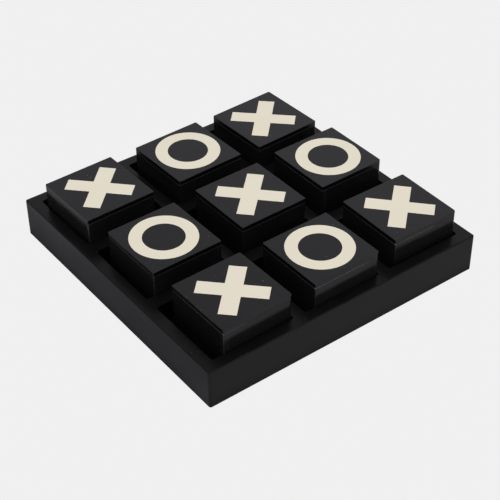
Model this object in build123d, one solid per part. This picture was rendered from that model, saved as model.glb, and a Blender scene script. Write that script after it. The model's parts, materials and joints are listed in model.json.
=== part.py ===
from build123d import *
import os

# Tic tac toe set: a square black board with nine open pockets, and nine loose tiles that stand
# in them. Millimetres, +Z up, origin at the centre of the underside, on the surface that the
# board stands on. Columns a, b, c run along +X and rows 1, 2, 3 run along +Y.

# ---- driving dimensions ----
BOARD_SIDE = 254.0          # ten inches
BOARD_HEIGHT = 33.4         # base panel plus rails, without the felt
BASE_HEIGHT = 16.0          # panel that closes the pockets below
RIM_WIDTH = 9.7             # outer rails
LONG_BAR_WIDTH = 10.4       # grid bars that run along Y
CROSS_BAR_WIDTH = 11.9      # grid bars that run along X
LONG_BARS_SHIFT = 1.2       # both long bars sit a little to the right
CROSS_BARS_SHIFT = -0.6     # both cross bars sit a little to the front
FELT_THICKNESS = 1.2
FELT_INSET = 6.0            # the felt stops short of the board's edge

TILE_SIDE = 61.8
TILE_HEIGHT = 38.4
PLATE_THICKNESS = 3.9
SHEET_THICKNESS = 3.0       # glossy sheets round the core

CROSS_LENGTH = 54.0         # each arm of the X, end to end
CROSS_WIDTH = 13.5
RING_OUTER_RADIUS = 26.6
RING_INNER_RADIUS = 16.5

# ---- edge treatment ----
BOARD_CORNER_RADIUS = 1.8   # vertical corners of the board
BOARD_TOP_RADIUS = 1.0
BOARD_BOTTOM_RADIUS = 0.5
FELT_CORNER_RADIUS = 3.0
TILE_CORNER_RADIUS = 1.0
WORN_CORNER_RADIUS = 2.6    # corners sanded rounder than the rest
PLATE_EDGE_RADIUS = 0.3
SEAM_CHAMFER = 0.2          # fine groove all round between the top plate and the sheets
JOINT_CHAMFER = 0.15        # fine upright grooves where two sheets meet

# ---- worked-out dimensions ----
INNER_SIDE = BOARD_SIDE - 2 * RIM_WIDTH
LONG_BAR_PITCH = (INNER_SIDE + LONG_BAR_WIDTH) / 3
CROSS_BAR_PITCH = (INNER_SIDE + CROSS_BAR_WIDTH) / 3
LONG_BARS = {
    "left": LONG_BARS_SHIFT - LONG_BAR_PITCH / 2,
    "right": LONG_BARS_SHIFT + LONG_BAR_PITCH / 2,
}
CROSS_BARS = {
    "front": CROSS_BARS_SHIFT - CROSS_BAR_PITCH / 2,
    "back": CROSS_BARS_SHIFT + CROSS_BAR_PITCH / 2,
}
RAIL_HEIGHT = BOARD_HEIGHT - BASE_HEIGHT
FLOOR_Z = FELT_THICKNESS + BASE_HEIGHT
BODY_HEIGHT = TILE_HEIGHT - PLATE_THICKNESS
CORE_SIDE = TILE_SIDE - 2 * SHEET_THICKNESS

# ---- how the loose tiles lie ----
# name: mark, place of the tile as X, Y and turn in degrees from an even grid of the given cell,
#       place of the mark as X, Y and turn on the tile, corners sanded rounder (signs of X and Y)
CELL = 81.7
COLUMNS = "abc"
ROWS = "123"
TILES = {
    "a1": ("x", (5.45, -3.5, 0.7), (0.6, -0.3, -0.6), [(1, -1)]),
    "b1": ("o", (5.3, -4.4, 0.3), (-0.1, 0.9, 0.0), [(1, -1)]),
    "c1": ("x", (4.15, -1.85, -0.75), (0.15, -0.25, -1.75), [(1, -1)]),
    "a2": ("o", (2.0, -4.3, 0.6), (-0.3, -0.2, 0.0), [(-1, 1)]),
    "b2": ("x", (4.15, -0.7, 0.5), (0.4, 0.1, -1.5), []),
    "c2": ("o", (3.95, 2.8, 0.3), (0.45, -0.2, 0.0), [(1, -1)]),
    "a3": ("x", (-3.2, -3.1, 1.1), (0.7, 0.4, -1.8), []),
    "b3": ("o", (0.15, -3.4, 1.4), (0.4, 0.7, 0.0), []),
    "c3": ("x", (-2.2, -2.7, 2.1), (-0.4, 0.8, -0.9), []),
}


def slab(width, depth, height, x=0.0, y=0.0, z=0.0):
    """A box that stands on the height z, centred on x and y."""
    return Pos(x, y, z) * Box(width, depth, height, align=(Align.CENTER, Align.CENTER, Align.MIN))


def upright_edge(solid, sign_x, sign_y):
    """The vertical edge of a solid that lies at the given corner."""
    upright = solid.edges().filter_by(Axis.Z)
    return upright.sort_by(lambda edge: sign_x * edge.center().X + sign_y * edge.center().Y)[-1]


# ---- board ----
def rounded_board():
    """The whole outer block of the board with its edges rounded, before it is divided."""
    block = slab(BOARD_SIDE, BOARD_SIDE, BOARD_HEIGHT, z=FELT_THICKNESS)
    block = fillet(block.edges().filter_by(Axis.Z), BOARD_CORNER_RADIUS)
    block = fillet(block.faces().sort_by(Axis.Z)[-1].edges(), BOARD_TOP_RADIUS)
    return fillet(block.faces().sort_by(Axis.Z)[0].edges(), BOARD_BOTTOM_RADIUS)


def board_pieces():
    """Base panel, four rails, four half-lapped grid bars and the felt, by node name."""
    block = rounded_board()
    rim_middle = (BOARD_SIDE - RIM_WIDTH) / 2
    pieces = {"base_panel": block & slab(BOARD_SIDE, BOARD_SIDE, BASE_HEIGHT, z=FELT_THICKNESS)}
    for name, side in (("front_rail", -1), ("back_rail", 1)):
        pieces[name] = block & slab(BOARD_SIDE, RIM_WIDTH, RAIL_HEIGHT, y=side * rim_middle, z=FLOOR_Z)
    for name, side in (("left_rail", -1), ("right_rail", 1)):
        pieces[name] = block & slab(RIM_WIDTH, INNER_SIDE, RAIL_HEIGHT, x=side * rim_middle, z=FLOOR_Z)

    half_height = RAIL_HEIGHT / 2
    for name, y in CROSS_BARS.items():
        bar = slab(INNER_SIDE, CROSS_BAR_WIDTH, RAIL_HEIGHT, y=y, z=FLOOR_Z)
        for x in LONG_BARS.values():
            bar -= slab(LONG_BAR_WIDTH, CROSS_BAR_WIDTH, half_height, x, y, FLOOR_Z + half_height)
        pieces[f"{name}_cross_bar"] = bar
    for name, x in LONG_BARS.items():
        bar = slab(LONG_BAR_WIDTH, INNER_SIDE, RAIL_HEIGHT, x=x, z=FLOOR_Z)
        for y in CROSS_BARS.values():
            bar -= slab(LONG_BAR_WIDTH, CROSS_BAR_WIDTH, half_height, x, y, FLOOR_Z)
        pieces[f"{name}_long_bar"] = bar

    felt = slab(BOARD_SIDE - 2 * FELT_INSET, BOARD_SIDE - 2 * FELT_INSET, FELT_THICKNESS)
    pieces["base_felt"] = fillet(felt.edges().filter_by(Axis.Z), FELT_CORNER_RADIUS)
    return pieces


# ---- tiles, drawn on their own axes with the underside at zero ----
def corner_radius(corner, worn_corners):
    return WORN_CORNER_RADIUS if corner in worn_corners else TILE_CORNER_RADIUS


def side_sheets(worn_corners):
    """Two full-width sheets facing along X, and two between them facing along Y."""
    middle = (TILE_SIDE - SHEET_THICKNESS) / 2
    sheets = []
    for side in (-1, 1):
        sheet = slab(SHEET_THICKNESS, TILE_SIDE, BODY_HEIGHT, x=side * middle)
        sheet = chamfer([upright_edge(sheet, -side, end) for end in (-1, 1)], JOINT_CHAMFER)
        for end in (-1, 1):
            sheet = fillet(upright_edge(sheet, side, end), corner_radius((side, end), worn_corners))
        inner_face = middle - SHEET_THICKNESS / 2
        rim = sheet.faces().sort_by(Axis.Z)[-1].edges()
        rim = rim.filter_by(lambda edge: side * edge.center().X > inner_face + JOINT_CHAMFER)
        sheets.append(chamfer(rim, SEAM_CHAMFER))

        sheet = slab(CORE_SIDE, SHEET_THICKNESS, BODY_HEIGHT, y=side * middle)
        sheet = chamfer([upright_edge(sheet, end, side) for end in (-1, 1)], JOINT_CHAMFER)
        rim = sheet.faces().sort_by(Axis.Z)[-1].edges().filter_by(Axis.X)
        sheets.append(chamfer(rim.sort_by(lambda edge: side * edge.center().Y)[-1], SEAM_CHAMFER))
    return sheets


def cross_mark():
    arms = Box(CROSS_LENGTH, CROSS_WIDTH, PLATE_THICKNESS) + Box(CROSS_WIDTH, CROSS_LENGTH, PLATE_THICKNESS)
    return Rot(0, 0, 45) * arms


def tile_pieces(name):
    """The pieces of one tile at its place on the board, by node name."""
    mark, (shift_x, shift_y, turn), (mark_x, mark_y, mark_turn), worn_corners = TILES[name]
    plate = slab(TILE_SIDE, TILE_SIDE, PLATE_THICKNESS, z=BODY_HEIGHT)
    for corner in ((-1, -1), (-1, 1), (1, -1), (1, 1)):
        plate = fillet(upright_edge(plate, *corner), corner_radius(corner, worn_corners))
    plate = fillet(plate.faces().sort_by(Axis.Z)[-1].edges(), PLATE_EDGE_RADIUS)
    plate = chamfer(plate.faces().sort_by(Axis.Z)[0].edges(), SEAM_CHAMFER)

    mark_place = Pos(mark_x, mark_y, BODY_HEIGHT + PLATE_THICKNESS / 2) * Rot(0, 0, mark_turn)
    pieces = {
        "core": [slab(CORE_SIDE, CORE_SIDE, BODY_HEIGHT)],
        "side_sheets": side_sheets(worn_corners),
    }
    if mark == "x":
        cross = mark_place * cross_mark()
        pieces["top_plate"] = [plate - cross]
        pieces["cross_inlay"] = [cross]
    else:
        outer = mark_place * Cylinder(RING_OUTER_RADIUS, PLATE_THICKNESS)
        disc = mark_place * Cylinder(RING_INNER_RADIUS, PLATE_THICKNESS)
        pieces["top_plate"] = [plate - outer]
        pieces["ring_inlay"] = [outer - disc]
        pieces["centre_disc"] = [disc]

    column = COLUMNS.index(name[0]) - 1
    row = ROWS.index(name[1]) - 1
    place = Pos(column * CELL + shift_x, row * CELL + shift_y, FLOOR_Z) * Rot(0, 0, turn)
    return {
        f"{name}_{piece}": Compound(children=[place * solid for solid in solids])
        for piece, solids in pieces.items()
    }


# ---- one STEP file for each node ----
nodes = board_pieces()
for tile_name in TILES:
    nodes.update(tile_pieces(tile_name))

os.makedirs("parts", exist_ok=True)
for node_name, node_solid in nodes.items():
    export_step(node_solid, f"parts/{node_name}.step")
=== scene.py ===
"""Tic tac toe set: looks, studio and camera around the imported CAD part. Metres, +Z up."""
import json
import math

import bmesh
import bpy
from mathutils import Matrix, Vector, noise

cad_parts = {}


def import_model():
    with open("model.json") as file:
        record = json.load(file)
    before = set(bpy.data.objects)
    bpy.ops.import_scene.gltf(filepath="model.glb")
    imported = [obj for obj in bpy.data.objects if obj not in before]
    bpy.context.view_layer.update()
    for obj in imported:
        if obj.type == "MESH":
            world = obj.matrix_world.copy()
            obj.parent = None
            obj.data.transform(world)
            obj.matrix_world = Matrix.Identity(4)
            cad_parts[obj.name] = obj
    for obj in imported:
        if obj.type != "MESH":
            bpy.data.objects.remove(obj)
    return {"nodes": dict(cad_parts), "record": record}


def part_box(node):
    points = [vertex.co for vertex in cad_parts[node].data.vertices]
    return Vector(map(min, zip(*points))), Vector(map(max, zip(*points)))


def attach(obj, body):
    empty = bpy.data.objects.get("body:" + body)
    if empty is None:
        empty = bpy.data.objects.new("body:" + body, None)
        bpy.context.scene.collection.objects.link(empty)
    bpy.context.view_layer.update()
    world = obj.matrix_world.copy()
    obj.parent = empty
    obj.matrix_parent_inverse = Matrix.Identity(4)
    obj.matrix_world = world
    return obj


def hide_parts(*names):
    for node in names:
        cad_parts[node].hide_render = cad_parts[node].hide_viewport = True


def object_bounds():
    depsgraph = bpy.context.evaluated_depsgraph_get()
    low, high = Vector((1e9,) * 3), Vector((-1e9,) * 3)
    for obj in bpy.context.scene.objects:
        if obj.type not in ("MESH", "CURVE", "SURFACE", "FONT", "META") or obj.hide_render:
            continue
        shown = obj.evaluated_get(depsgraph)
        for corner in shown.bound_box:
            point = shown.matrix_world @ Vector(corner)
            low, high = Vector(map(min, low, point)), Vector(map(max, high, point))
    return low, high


MM = 0.001

# ---- camera: a long lens that looks down at the front corner of the board ----
FOCAL_MM = 93.5
SENSOR_MM = 36.0
CAMERA_AZIMUTH = -36.89         # degrees from -Y towards -X
CAMERA_ELEVATION = 38.49
CAMERA_ROLL = -0.41
CAMERA_DISTANCE = 0.9610
CAMERA_TARGET = (-0.0383, -0.05655)   # on the plane of the tile tops

# ---- studio ----
PALE = (0.871, 0.871, 0.871)    # floor and backdrop as the camera sees them
SKY = (0.410, 0.410, 0.434)     # light from all round
SKY_HIGH = 0.80                 # its strength overhead
SKY_LOW = 1.28                  # ... towards the horizon
SKY_LEFT = 0.93                 # ... on the camera's left half
SKY_RIGHT = 1.07                # ... on its right half
SKY_FAR_LEFT = 0.50             # ... far to the left
SKY_FAR_RIGHT = 0.68            # ... far to the right
FLOOR_FRONT = (0.264, 0.256, 0.273)     # what the gloss sees of the floor in front
FLOOR_RIGHT = (0.40, 0.39, 0.412)       # ... on the right, where the light is nearer
FLOOR_LEFT = (0.53, 0.515, 0.54)        # ... in the pool of light on the far left
FLOOR_CORNER = (0.53, 0.515, 0.54)      # ... and in a painted patch of light right before the front corner
FLOOR_HALF = 6.0
CONTACT_SHADOW_WIDTH = 9 * MM          # painted contact shadow: the floor's glow seen in the gloss is darker this close to the board
CONTACT_SHADOW_DARKNESS = 0.35
OVERHEAD_POWER = 15.2
OVERHEAD_DIAMETER = 1.0
OVERHEAD_HEIGHT = 1.6

# ---- sizes of the pieces made here, and of the board's footprint ----
BOARD_HALF = 127 * MM
FELT_CORNER_RADIUS = 3 * MM
FELT_STEPS = 96                 # squares along each side of the felt's mesh
FELT_HUMP_HEIGHT = 0.06 * MM    # half the height of the unevenness of the underside
FELT_HUMP_SPACING = 14 * MM
FELT_EDGE_LIFT = 0.35 * MM      # how far the cut edge curls off the table
POCKET_CORNER_RADIUS = 1.8 * MM         # stays clear of the tiles that stand in a corner
POCKET_CORNER_STEPS = 8

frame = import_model()
cad_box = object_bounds()
nodes = frame["nodes"]
BOARD_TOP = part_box("front_rail")[1][2]
SEAM_HEIGHT, TILE_TOP = (corner[2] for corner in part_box("a1_top_plate"))    # under and over the plates

# ---- wear and painted highlights on the tiles ----
# pale colour of the painted seam highlight, partly rubbed wear
PAINTED_HIGHLIGHT_AND_WEAR_COLOUR = (0.26, 0.225, 0.21)

# painted highlights, partly rubbed wear, on upright edges and joints of the tiles, in millimetres: X, Y,
# reach, strength
UPRIGHT_HIGHLIGHTS_AND_WEAR = (
    (-105.6, -116.1, 3.5, 1.0),
    (-25.6, -117.0, 3.5, 0.16),
    (33.2, -116.8, 0.6, 1.0),
    (-110.6, -35.2, 1.5, 0.45),
    (-51.8, -35.0, 1.0, 0.5),
    (54.9, -114.3, 3.5, 0.12),
    (57.7, -28.2, 0.6, 0.7),
    (-115.3, 47.3, 1.5, 0.9),
)

# stretches where the seams under the top plates get a painted pale highlight, partly rubbed wear, in
# millimetres:
# X from and to, Y from and to, strength
SEAM_HIGHLIGHT_AND_WEAR_STRETCHES = (
    (-107.0, -92.0, -117.5, -115.0, 0.6),
    (-107.0, -104.0, -116.0, -66.0, 0.5),
    (-27.0, 20.0, -118.0, -116.0, 1.0),
    (-27.0, -24.0, -116.0, -80.0, 0.25),
    (53.5, 88.0, -115.5, -113.0, 1.0),
    (53.5, 56.5, -113.0, -75.0, 0.3),
    (53.5, 56.5, -28.0, 10.0, 0.3),
    (-112.0, -109.0, -35.0, 10.0, 0.3),
)


# ---------------------------------------------------------------- node helpers
class Shader:
    """The node tree of a material, or of a world, with short ways to add and join nodes."""

    def __init__(self, name, world=None):
        self.owner = world or bpy.data.materials.new(name)
        self.owner.use_nodes = True
        self.tree = self.owner.node_tree
        self.tree.nodes.clear()
        output_kind = "ShaderNodeOutputWorld" if world else "ShaderNodeOutputMaterial"
        self.output = self.tree.nodes.new(output_kind)
        places = self.tree.nodes.new("ShaderNodeTexCoord").outputs
        self.object_place = places["Object"]
        self.direction = places["Generated"]

    def put(self, value, socket):
        """Join a socket to a socket, or set a plain number, vector or colour on it."""
        if isinstance(value, bpy.types.NodeSocket):
            self.tree.links.new(value, socket)
        elif socket.type == "RGBA":
            socket.default_value = (*value, 1.0)
        else:
            socket.default_value = value

    def node(self, kind, inputs, **settings):
        made = self.tree.nodes.new(kind)
        for key, value in settings.items():
            setattr(made, key, value)
        for key, value in inputs.items():
            self.put(value, made.inputs[key])
        return made

    def stretch(self, scale, turn=(0.0, 0.0, 0.0)):
        rotation = tuple(math.radians(angle) for angle in turn)
        inputs = {"Vector": self.object_place, "Scale": scale, "Rotation": rotation}
        return self.node("ShaderNodeMapping", inputs).outputs["Vector"]

    def noise(self, scale, detail=2.0, roughness=0.5, place=None):
        inputs = {"Scale": scale, "Detail": detail, "Roughness": roughness}
        inputs["Vector"] = place or self.object_place
        return self.node("ShaderNodeTexNoise", inputs).outputs["Fac"]

    def ramp(self, value, low, high, at_low=0.0, at_high=1.0):
        inputs = {"Value": value, "From Min": low, "From Max": high, "To Min": at_low, "To Max": at_high}
        return self.node("ShaderNodeMapRange", inputs, interpolation_type="SMOOTHSTEP").outputs["Result"]

    def math(self, operation, a, b=0.0):
        return self.node("ShaderNodeMath", {0: a, 1: b}, operation=operation).outputs["Value"]

    def times(self, a, b):
        return self.math("MULTIPLY", a, b)

    def most(self, a, b):
        return self.math("MAXIMUM", a, b)

    def mix(self, factor, a, b):
        return self.node("ShaderNodeMix", {0: factor, 6: a, 7: b}, data_type="RGBA").outputs[2]

    def axes(self, vector):
        return self.node("ShaderNodeSeparateXYZ", {"Vector": vector}).outputs

    def bump(self, height, distance, normal=None):
        inputs = {"Height": height, "Distance": distance}
        if normal is not None:
            inputs["Normal"] = normal
        return self.node("ShaderNodeBump", inputs).outputs["Normal"]

    def rounded(self):
        """1 on the slanted or rounded stretches between two flat sides, 0 on the flat sides."""
        normal = self.axes(self.node("ShaderNodeNewGeometry", {}).outputs["Normal"])
        largest = self.math("ABSOLUTE", normal["X"])
        for axis in ("Y", "Z"):
            largest = self.most(largest, self.math("ABSOLUTE", normal[axis]))
        return self.ramp(largest, 0.90, 0.99, 1.0, 0.0)

    def specks(self, spacing, radius, share):
        """Small round grains: one in each cell of the given spacing, kept in a share of the cells."""
        inputs = {"Vector": self.object_place, "Scale": 1.0 / spacing, "Randomness": 1.0}
        cells = self.node("ShaderNodeTexVoronoi", inputs)
        grain = self.ramp(cells.outputs["Distance"], 0.6 * radius / spacing, radius / spacing, 1.0, 0.0)
        pick = self.axes(cells.outputs["Color"])["X"]
        return self.times(grain, self.math("LESS_THAN", pick, share))

    def scratches(self, turn, length, width, share):
        """Fine straight marks along one direction."""
        place = self.stretch((1.0 / length, 1.0 / width, 1.0 / length), turn)
        streak = self.noise(1.0, 1.0, 0.4, place)
        return self.ramp(streak, 1.0 - share, 1.03 - share)

    def near(self, x, y, inner, outer):
        """1 around an upright line at x and y, fading to 0 between the two distances."""
        line = self.node("ShaderNodeMapping", {"Vector": self.object_place, "Scale": (1.0, 1.0, 0.0)})
        inputs = {0: line.outputs["Vector"], 1: (x, y, 0.0)}
        away = self.node("ShaderNodeVectorMath", inputs, operation="DISTANCE").outputs["Value"]
        return self.ramp(away, inner, outer, 1.0, 0.0)

    def between(self, value, low, high):
        """1 from low to high, in millimetres; a long stretch fades out slowly at its high end."""
        fade = 10.0 if high - low > 5.0 else 1.0
        rise = self.ramp(value, (low - 1.0) * MM, low * MM)
        return self.times(rise, self.ramp(value, high * MM, (high + fade) * MM, 1.0, 0.0))

    def painted_seam_highlight_and_wear(self):
        """1 on the stretches of the seams under the top plates that get a painted highlight, partly
        rubbed wear.
        """
        place = self.axes(self.object_place)
        highlight_and_wear_mask = 0.0
        for left, right, front, back, strength in SEAM_HIGHLIGHT_AND_WEAR_STRETCHES:
            across = self.between(place["X"], left, right)
            here = self.times(across, self.between(place["Y"], front, back))
            highlight_and_wear_mask = self.most(highlight_and_wear_mask, self.times(here, strength))
        drop = self.math("ABSOLUTE", self.math("SUBTRACT", place["Z"], SEAM_HEIGHT))
        highlight_and_wear_mask = self.times(highlight_and_wear_mask, self.times(self.rounded(), self.ramp(drop, 0.4 * MM, 0.6 * MM, 1.0, 0.0)))
        return self.times(highlight_and_wear_mask, self.ramp(self.noise(160.0), 0.35, 0.6, 0.4, 1.0))

    def emit(self, seen_colour, lit_colour):
        """Shine in one colour for the camera and in another for everything that reflects it."""
        kind = "ShaderNodeBackground" if isinstance(self.owner, bpy.types.World) else "ShaderNodeEmission"
        lit = self.node(kind, {"Color": lit_colour}).outputs[0]
        seen = self.node(kind, {"Color": seen_colour}).outputs[0]
        path = self.node("ShaderNodeLightPath", {}).outputs["Is Camera Ray"]
        mixed = self.node("ShaderNodeMixShader", {0: path, 1: lit, 2: seen}).outputs[0]
        self.tree.links.new(mixed, self.output.inputs["Surface"])

    def surface(self, colour, roughness, normal=None, **settings):
        """A principled surface; settings are more of its inputs, such as sheen_weight."""
        inputs = {"Base Color": colour, "Roughness": roughness}
        if normal is not None:
            inputs["Normal"] = normal
        for key, value in settings.items():
            inputs[key.replace("_", " ").title().replace("Ior", "IOR")] = value
        principled = self.node("ShaderNodeBsdfPrincipled", inputs)
        self.tree.links.new(principled.outputs["BSDF"], self.output.inputs["Surface"])
        return self.owner


# ---------------------------------------------------------------- materials
def satin_black():
    """Top plates and centre discs: hand-rubbed black resin with dust, fine scratches, bare edges and a
    painted highlight along the seams.
    """
    s = Shader("satin_black_resin")
    cloud = s.noise(45.0, detail=4.0, roughness=0.6)
    grain = s.noise(2200.0, detail=2.0, roughness=0.6)
    colour = s.mix(cloud, (0.0030, 0.0030, 0.0033), (0.0052, 0.0052, 0.0056))
    marks = s.most(
        s.scratches(turn=(0, 0, 28), length=22 * MM, width=0.35 * MM, share=0.24),
        s.scratches(turn=(0, 0, -51), length=16 * MM, width=0.35 * MM, share=0.235),
    )
    colour = s.mix(s.times(marks, 0.5), colour, (0.030, 0.029, 0.028))
    height = s.axes(s.object_place)["Z"]
    upper = s.ramp(height, TILE_TOP - 1.5 * MM, TILE_TOP - 0.5 * MM, 0.25, 1.0)
    wear = s.times(s.times(s.rounded(), upper), s.ramp(cloud, 0.35, 0.65, 0.15, 0.7))
    colour = s.mix(wear, colour, (0.055, 0.047, 0.042))
    # painted highlight along the seams under the top plates, partly rubbed wear
    colour = s.mix(s.painted_seam_highlight_and_wear(), colour, PAINTED_HIGHLIGHT_AND_WEAR_COLOUR)
    dust = s.most(
        s.specks(spacing=6 * MM, radius=0.42 * MM, share=0.26),
        s.specks(spacing=2.6 * MM, radius=0.24 * MM, share=0.20),
    )
    colour = s.mix(s.times(dust, 0.55), colour, (0.30, 0.30, 0.29))
    rough = s.ramp(cloud, 0.3, 0.7, 0.21, 0.27)
    rough = s.math("ADD", rough, s.times(s.most(marks, dust), 0.25))
    normal = s.bump(grain, distance=0.004 * MM)
    normal = s.bump(s.noise(120.0), 0.03 * MM, normal)
    return s.surface(colour, rough, normal)


def gloss_black():
    """Side sheets of the tiles: polished, slightly wavy, with rubbed edges, and painted highlights on the
    seams and upright edges.
    """
    s = Shader("gloss_black_resin")
    height = s.axes(s.object_place)["Z"]
    cloud = s.noise(60.0, detail=3.0, roughness=0.6)
    colour = s.mix(cloud, (0.0104, 0.0107, 0.0110), (0.0150, 0.0154, 0.0157))
    # painted highlight along the seam at the top of the side sheets
    painted_seam_line = s.times(s.rounded(), s.ramp(height, SEAM_HEIGHT - 0.4 * MM, SEAM_HEIGHT - 0.2 * MM))
    patches = s.noise(55.0, detail=3.0, roughness=0.6)
    wear = s.times(s.rounded(), s.ramp(patches, 0.50, 0.66, 0.0, 0.12))
    edge_highlight_and_wear = s.most(s.times(painted_seam_line, s.ramp(cloud, 0.3, 0.7, 0.15, 0.5)), wear)
    # the painted highlights on the upright edges are patchy and fade downwards
    patchy_fading_down = s.times(
        s.ramp(s.noise(90.0), 0.35, 0.65, 0.5, 1.0),
        s.ramp(height, BOARD_TOP, TILE_TOP - 4 * MM, 0.4, 1.0),
    )
    for x, y, reach, strength in UPRIGHT_HIGHLIGHTS_AND_WEAR:
        upright_highlight = s.times(s.near(x * MM, y * MM, reach * MM, (reach + 0.6) * MM), patchy_fading_down)
        edge_highlight_and_wear = s.most(edge_highlight_and_wear, s.times(s.times(upright_highlight, s.rounded()), strength))
        edge_highlight_and_wear = s.most(edge_highlight_and_wear, s.times(upright_highlight, 0.12 * strength))
    # pale edge colour: painted highlights on the seams and upright edges, with faint patches of rubbed
    # wear
    colour = s.mix(edge_highlight_and_wear, colour, (0.095, 0.084, 0.079))
    # painted highlight along the seams under the top plates, partly rubbed wear
    colour = s.mix(s.painted_seam_highlight_and_wear(), colour, PAINTED_HIGHLIGHT_AND_WEAR_COLOUR)
    dust = s.specks(spacing=4 * MM, radius=0.30 * MM, share=0.14)
    colour = s.mix(s.times(dust, 0.35), colour, (0.25, 0.25, 0.24))
    rough = s.ramp(cloud, 0.3, 0.7, 0.13, 0.18)
    rough = s.math("ADD", rough, s.times(s.most(edge_highlight_and_wear, dust), 0.4))
    ripple = s.bump(s.noise(110.0, detail=1.0), distance=0.05 * MM)
    return s.surface(colour, rough, ripple, specular_ior_level=0.36)


def lacquer():
    """The board: sprayed black lacquer with orange peel, dust under the coat and rubbed edges."""
    s = Shader("black_lacquer")
    cloud = s.noise(35.0, detail=4.0, roughness=0.6)
    peel = s.noise(900.0)
    colour = s.mix(cloud, (0.0028, 0.0028, 0.0030), (0.0044, 0.0044, 0.0047))
    wear = s.times(s.rounded(), s.ramp(cloud, 0.35, 0.65, 0.1, 0.5))
    colour = s.mix(wear, colour, (0.018, 0.017, 0.017))
    dust = s.most(
        s.specks(spacing=5 * MM, radius=0.35 * MM, share=0.35),
        s.specks(spacing=2.1 * MM, radius=0.20 * MM, share=0.30),
    )
    colour = s.mix(s.times(dust, 0.5), colour, (0.16, 0.16, 0.155))
    marks = s.scratches(turn=(0, 0, 12), length=18 * MM, width=0.35 * MM, share=0.23)
    rough = s.ramp(cloud, 0.3, 0.7, 0.28, 0.34)
    rough = s.math("ADD", rough, s.times(s.most(marks, dust), 0.2))
    normal = s.bump(peel, distance=0.006 * MM)
    normal = s.bump(s.noise(140.0), 0.03 * MM, normal)
    return s.surface(colour, rough, normal, specular_ior_level=0.265)


def cream():
    """Cross and ring inlays: cast ivory-coloured resin."""
    s = Shader("cream_resin")
    cloud = s.noise(38.0, detail=4.0, roughness=0.6)
    colour = s.mix(cloud, (0.85, 0.785, 0.625), (0.90, 0.830, 0.675))
    fleck = s.specks(spacing=2.4 * MM, radius=0.22 * MM, share=0.16)
    colour = s.mix(s.times(fleck, 0.30), colour, (0.42, 0.36, 0.27))
    colour = s.mix(s.times(s.rounded(), 0.5), colour, (0.50, 0.43, 0.33))
    rough = s.ramp(cloud, 0.3, 0.7, 0.28, 0.36)
    normal = s.bump(s.noise(1500.0), distance=0.004 * MM)
    return s.surface(colour, rough, normal)


def fibreboard():
    """Cores of the tiles, seen only from below: pressed wood fibre."""
    s = Shader("tile_core")
    grain = s.stretch((250.0, 1600.0, 250.0), turn=(0, 0, 35))
    fibre = s.noise(1.0, detail=3.0, roughness=0.7, place=grain)
    crumb = s.noise(900.0, detail=4.0, roughness=0.7)
    colour = s.mix(s.times(fibre, crumb), (0.16, 0.095, 0.052), (0.48, 0.33, 0.20))
    normal = s.bump(crumb, distance=0.08 * MM)
    return s.surface(colour, s.ramp(crumb, 0.3, 0.7, 0.75, 0.95), normal, specular_ior_level=0.2)


def felt():
    """Pad under the board: short black felt."""
    s = Shader("board_felt")
    fibre = s.noise(3200.0, detail=3.0, roughness=0.7)
    tuft = s.noise(420.0, detail=3.0, roughness=0.6)
    colour = s.mix(fibre, (0.006, 0.006, 0.006), (0.040, 0.039, 0.038))
    colour = s.mix(s.times(tuft, 0.5), colour, (0.012, 0.012, 0.012))
    normal = s.bump(fibre, distance=0.12 * MM)
    normal = s.bump(tuft, 0.10 * MM, normal)
    rough = s.ramp(tuft, 0.3, 0.7, 0.85, 1.0)
    return s.surface(colour, rough, normal, specular_ior_level=0.15, sheen_weight=0.35)


MATERIALS = {
    "satin_black_resin": satin_black(),
    "gloss_black_resin": gloss_black(),
    "black_lacquer": lacquer(),
    "cream_resin": cream(),
    "tile_core": fibreboard(),
    "board_felt": felt(),
}
for entry in frame["record"]["subparts"]:
    piece = nodes[entry["node"]]
    piece.data.materials.clear()
    piece.data.materials.append(MATERIALS[entry["material_slot"]])


# ---------------------------------------------------------------- pieces made here
def place_on_board(name, mesh, slot):
    """Finish a mesh as a piece of the board, with the material of the given slot."""
    mesh.normal_update()
    data = bpy.data.meshes.new(name)
    mesh.to_mesh(data)
    mesh.free()
    data.materials.append(MATERIALS[slot])
    piece = bpy.data.objects.new(name, data)
    bpy.context.scene.collection.objects.link(piece)
    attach(piece, "board")
    return piece


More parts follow.
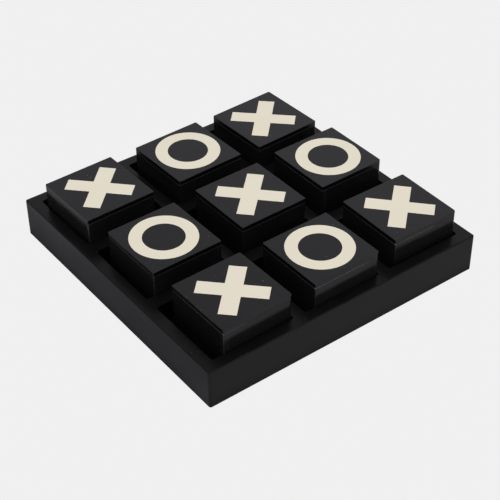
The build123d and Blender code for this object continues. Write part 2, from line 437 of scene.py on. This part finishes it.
def felt_pad():
    """The felt under the board: a cut sheet with soft edges and a slightly uneven underside."""
    low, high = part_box("base_felt")
    half = (high[0] - low[0]) / 2
    straight = half - FELT_CORNER_RADIUS
    steps = FELT_STEPS
    mesh = bmesh.new()
    layers = []
    for underside in (True, False):
        rows = []
        for i in range(steps + 1):
            row = []
            for j in range(steps + 1):
                x, y = (half * (2 * k / steps - 1) for k in (i, j))
                core = Vector((max(-straight, min(straight, x)), max(-straight, min(straight, y))))
                out = Vector((x, y)) - core
                if out.length > FELT_CORNER_RADIUS:
                    x, y = core + out.normalized() * FELT_CORNER_RADIUS
                z = high[2]
                if underside:
                    hump = noise.noise(Vector((x, y, 0.0)) / FELT_HUMP_SPACING) + 1.0
                    at_edge = i in (0, steps) or j in (0, steps)
                    z = low[2] + FELT_HUMP_HEIGHT * hump + (FELT_EDGE_LIFT if at_edge else 0.0)
                row.append(mesh.verts.new((x, y, z)))
            rows.append(row)
        layers.append(rows)
    under, upper = layers
    for i in range(steps):
        for j in range(steps):
            mesh.faces.new((under[i][j], under[i][j + 1], under[i + 1][j + 1], under[i + 1][j]))
            mesh.faces.new((upper[i][j], upper[i + 1][j], upper[i + 1][j + 1], upper[i][j + 1]))
    for k in range(steps):
        mesh.faces.new((under[k][0], under[k + 1][0], upper[k + 1][0], upper[k][0]))
        mesh.faces.new((under[k + 1][steps], under[k][steps], upper[k][steps], upper[k + 1][steps]))
        mesh.faces.new((under[0][k + 1], under[0][k], upper[0][k], upper[0][k + 1]))
        mesh.faces.new((under[steps][k], under[steps][k + 1], upper[steps][k + 1], upper[steps][k]))
    for face in mesh.faces:
        face.smooth = True
    pad = place_on_board("felt_pad", mesh, "board_felt")
    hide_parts("base_felt")


def pocket_corners():
    """Lacquer that rounds the four upright inside corners of each pocket."""
    pockets = []        # for X and for Y, the low and high side of each of the three pockets
    for axis, walls in enumerate((
        ("left_rail", "left_long_bar", "right_long_bar", "right_rail"),
        ("front_rail", "front_cross_bar", "back_cross_bar", "back_rail"),
    )):
        boxes = [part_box(wall) for wall in walls]
        pockets.append([(boxes[k][1][axis], boxes[k + 1][0][axis]) for k in range(3)])
    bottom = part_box("base_panel")[1][2]
    corners = [
        (x, y, 1 if x == column[0] else -1, 1 if y == row[0] else -1)
        for column in pockets[0] for row in pockets[1] for x in column for y in row
    ]
    mesh = bmesh.new()
    for x, y, side_x, side_y in corners:
        outline = [(0.0, 0.0)]
        for k in range(POCKET_CORNER_STEPS + 1):
            angle = math.pi / 2 * k / POCKET_CORNER_STEPS
            outline.append((1.0 - math.sin(angle), 1.0 - math.cos(angle)))
        if side_x != side_y:
            outline.reverse()
        rings = []
        for z in (bottom, BOARD_TOP):
            ring = []
            for u, v in outline:
                ring.append(mesh.verts.new((
                    x + side_x * u * POCKET_CORNER_RADIUS,
                    y + side_y * v * POCKET_CORNER_RADIUS,
                    z,
                )))
            rings.append(ring)
        lower, upper = rings
        mesh.faces.new(upper)
        mesh.faces.new(reversed(lower))
        count = len(outline)
        for k in range(count):
            after = (k + 1) % count
            wall = mesh.faces.new((lower[k], lower[after], upper[after], upper[k]))
            wall.smooth = (0.0, 0.0) not in (outline[k], outline[after])
    bmesh.ops.recalc_face_normals(mesh, faces=mesh.faces)
    place_on_board("pocket_corners", mesh, "black_lacquer")


felt_pad()
pocket_corners()


# ---------------------------------------------------------------- studio
def world():
    """Light all round, strongest low down and a little right of the middle; a plain pale backdrop."""
    sky = bpy.data.worlds.new("studio")
    bpy.context.scene.world = sky
    s = Shader("studio", sky)
    way = s.axes(s.direction)
    height = s.ramp(way["Z"], 0.48, 0.74, SKY_LOW, SKY_HIGH)
    azimuth = math.radians(CAMERA_AZIMUTH)
    right = s.math("ADD", s.times(way["X"], math.cos(azimuth)), s.times(way["Y"], math.sin(azimuth)))
    strength = s.times(height, s.ramp(right, -0.15, 0.15, SKY_LEFT, SKY_RIGHT))
    strength = s.times(strength, s.ramp(right, 0.2, 0.6, 1.0, SKY_FAR_RIGHT))
    strength = s.times(strength, s.ramp(right, -0.6, -0.2, SKY_FAR_LEFT, 1.0))
    tint = s.node("ShaderNodeMix", {0: 1.0, 6: SKY, 7: strength}, data_type="RGBA", blend_type="MULTIPLY")
    s.emit(PALE, tint.outputs[2])


def floor():
    """Plain pale floor without a shadow; the glow that the gloss reflects of it is painted: darker in
    front, lighter in painted patches of light, and darker still in a painted contact shadow next to the
    board.
    """
    mesh = bpy.data.meshes.new("floor")
    corners = [(x * FLOOR_HALF, y * FLOOR_HALF, 0.0) for x, y in ((-1, -1), (1, -1), (1, 1), (-1, 1))]
    mesh.from_pydata(corners, [], [(0, 1, 2, 3)])
    piece = bpy.data.objects.new("floor", mesh)
    bpy.context.scene.collection.objects.link(piece)

    s = Shader("floor")
    place = s.axes(s.object_place)
    across = s.axes(s.stretch((1.0, 1.0, 1.0), turn=(0, 0, -CAMERA_AZIMUTH)))["X"]
    shine = s.mix(s.ramp(across, -0.06, -0.02), FLOOR_FRONT, FLOOR_RIGHT)
    pool = s.times(s.ramp(place["X"], -0.1525, -0.147, 1.0, 0.0), s.ramp(place["Y"], 0.04, 0.10))
    shine = s.mix(pool, shine, FLOOR_LEFT)
    left_of, before = (s.ramp(place[axis], -0.135, -0.127, 1.0, 0.0) for axis in "XY")
    shine = s.mix(s.times(left_of, before), shine, FLOOR_CORNER)
    outside = s.most(s.math("ABSOLUTE", place["X"]), s.math("ABSOLUTE", place["Y"]))
    # painted contact shadow in the glow that the gloss reflects
    painted_contact_shadow = s.ramp(outside, BOARD_HALF, BOARD_HALF + CONTACT_SHADOW_WIDTH, CONTACT_SHADOW_DARKNESS, 0.0)
    shine = s.mix(painted_contact_shadow, shine, (0.0, 0.0, 0.0))
    s.emit(PALE, shine)
    mesh.materials.append(s.owner)


def overhead():
    """One large soft lamp above, kept out of the gloss so that the tops stay black from above."""
    lamp = bpy.data.lights.new("overhead", "AREA")
    lamp.shape = "DISK"
    lamp.size = OVERHEAD_DIAMETER
    lamp.energy = OVERHEAD_POWER
    holder = bpy.data.objects.new("overhead", lamp)
    holder.location = (0.0, 0.0, OVERHEAD_HEIGHT)
    holder.visible_glossy = False
    bpy.context.scene.collection.objects.link(holder)


def camera():
    """A long lens without shift or depth of field, at the photograph's angle."""
    azimuth = math.radians(CAMERA_AZIMUTH)
    elevation = math.radians(CAMERA_ELEVATION)
    roll = math.radians(CAMERA_ROLL)
    back = Vector((
        math.sin(azimuth) * math.cos(elevation),
        -math.cos(azimuth) * math.cos(elevation),
        math.sin(elevation),
    ))
    level = Vector((math.cos(azimuth), math.sin(azimuth), 0.0))
    upright = back.cross(level)
    right = math.cos(roll) * level + math.sin(roll) * upright
    up = math.cos(roll) * upright - math.sin(roll) * level
    target = Vector((*CAMERA_TARGET, cad_box[1][2]))

    lens = bpy.data.cameras.new("camera")
    lens.lens = FOCAL_MM
    lens.sensor_width = SENSOR_MM
    lens.clip_start = 0.01
    eye = bpy.data.objects.new("camera", lens)
    bpy.context.scene.collection.objects.link(eye)
    turn = Matrix((right, up, back)).transposed().to_4x4()
    eye.matrix_world = Matrix.Translation(target + CAMERA_DISTANCE * back) @ turn
    bpy.context.scene.camera = eye


world()
floor()
overhead()
camera()
bpy.context.scene.view_settings.view_transform = "Standard"
